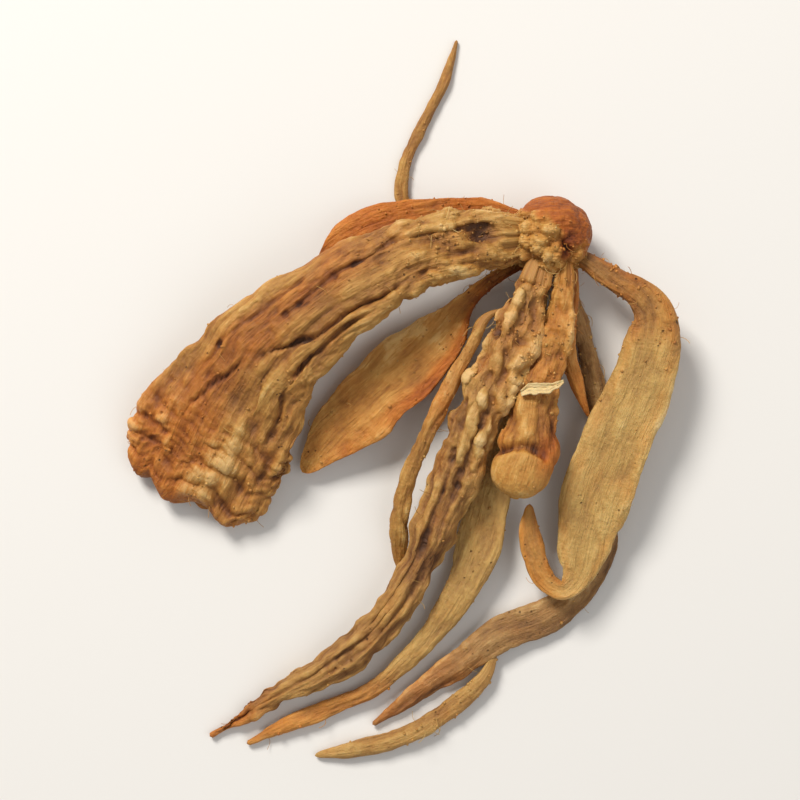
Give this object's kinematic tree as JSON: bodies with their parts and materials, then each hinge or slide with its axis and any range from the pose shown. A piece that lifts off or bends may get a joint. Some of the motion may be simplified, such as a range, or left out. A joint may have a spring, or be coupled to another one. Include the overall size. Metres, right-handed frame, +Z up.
{
  "type": "dried cordyceps",
  "caption": "Clump of dried cordyceps: orange and tan stalks, thin, flattened or ribbed, fanned out from a shared rounded base; lies flat, as an ingredient or a display piece.",
  "frame": {"origin": "centre of the flat underside of the base, on the surface that the clump lies on", "axes": "+Z up, out of the surface; -Y along the longest stalks, away from the base; +X towards the side with the tongue-shaped stalk"},
  "size_m": [0.0371, 0.0487, 0.0058],
  "materials": {
    "orange_flesh": "matte dried fungal flesh, leathery and slightly waxy",
    "amber_flesh": "matte dried fungal flesh, leathery and slightly waxy",
    "tan_flesh": "matte dried fungal flesh, leathery and slightly waxy",
    "pale_flesh": "matte dried fungal flesh, leathery and slightly waxy",
    "brown_flesh": "matte dried fungal flesh, leathery and slightly waxy"
  },
  "bodies": {
    "root": {"base": "orange_flesh", "broad_stalk": "amber_flesh", "flap_stalk": "orange_flesh", "blade_stalk": "orange_flesh", "main_stalk": "tan_flesh", "bow_stalk": "amber_flesh", "twin_stalk": "pale_flesh", "knob_stalk": "orange_flesh", "thread_stalk": "orange_flesh", "tongue_stalk": "pale_flesh", "lower_stalk": "brown_flesh", "fork_stalk": "tan_flesh", "rising_stalk": "amber_flesh"}
  },
  "joints": []
}
